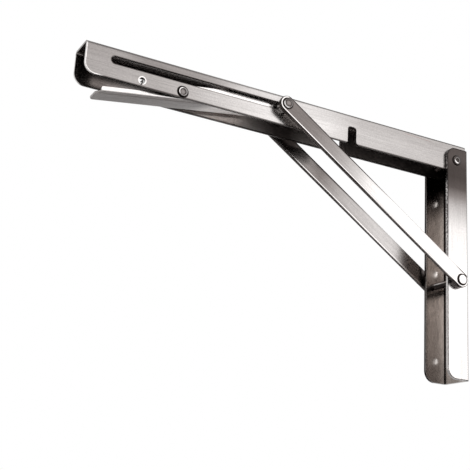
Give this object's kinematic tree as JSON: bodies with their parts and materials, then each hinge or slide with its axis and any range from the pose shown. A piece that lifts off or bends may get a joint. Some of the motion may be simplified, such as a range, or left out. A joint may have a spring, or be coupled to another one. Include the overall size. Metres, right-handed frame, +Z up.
{
  "type": "folding shelf bracket",
  "caption": "Wall-mounted bracket that holds a shelf level on a braced arm and folds flat against the wall when its release lever is pressed.",
  "frame": {"origin": "midway between the top and bottom wall screw holes, on the wall channel's back face", "axes": "+X out from the wall along the arm, +Y to the right of someone facing the wall, +Z up"},
  "size_m": [0.3, 0.0378, 0.1763],
  "materials": {
    "channel_steel": "brushed",
    "brace_steel": "brushed",
    "lever_steel": "brushed",
    "rivet_steel": "satin",
    "spring_steel": "satin"
  },
  "bodies": {
    "wall": {"wall_channel": "channel_steel", "top_rivet": "rivet_steel", "brace_rivet": "rivet_steel", "brace_washer_left": "rivet_steel", "brace_washer_right": "rivet_steel"},
    "arm": {"shelf_arm": "channel_steel", "lever_rivet": "rivet_steel", "lever_spacer_left": "rivet_steel", "lever_spacer_right": "rivet_steel", "lever_spring": "spring_steel"},
    "braces": {"brace_left": "brace_steel", "brace_right": "brace_steel", "pin_head_left": "rivet_steel", "pin_head_right": "rivet_steel"},
    "slide_pins": {"slide_pin_left": "rivet_steel", "slide_pin_right": "rivet_steel", "slide_washer_left": "rivet_steel", "slide_washer_right": "rivet_steel"},
    "lever": {"release_lever": "lever_steel"}
  },
  "joints": [
    {"name": "arm_fold", "type": "hinge", "parent": "wall", "child": "arm", "pos_m": [0.0108, 0, 0.08375], "axis": [0, 1, 0], "range_deg": [0, 90]},
    {"name": "brace_swing", "type": "hinge", "parent": "wall", "child": "braces", "pos_m": [0.0102, 0, -0.00785], "axis": [0, 1, 0], "range_deg": [0, 121.2]},
    {"name": "pin_slide", "type": "slide", "parent": "arm", "child": "slide_pins", "axis": [1, 0, 0], "range_m": [0, 0.1208]},
    {"name": "lever_press", "type": "hinge", "parent": "arm", "child": "lever", "pos_m": [0.2333, 0, 0.07975], "axis": [0, -1, 0], "range_deg": [0, 9], "stiffness_Nm_per_rad": 0.6, "springref_deg": -14.32, "deforming": ["lever_spring"]}
  ],
  "couplings": [
    {"joint": "brace_swing", "follows": "arm_fold", "ratio": 1.3465},
    {"joint": "pin_slide", "follows": "arm_fold", "m_per_rad": 0.076851}
  ]
}
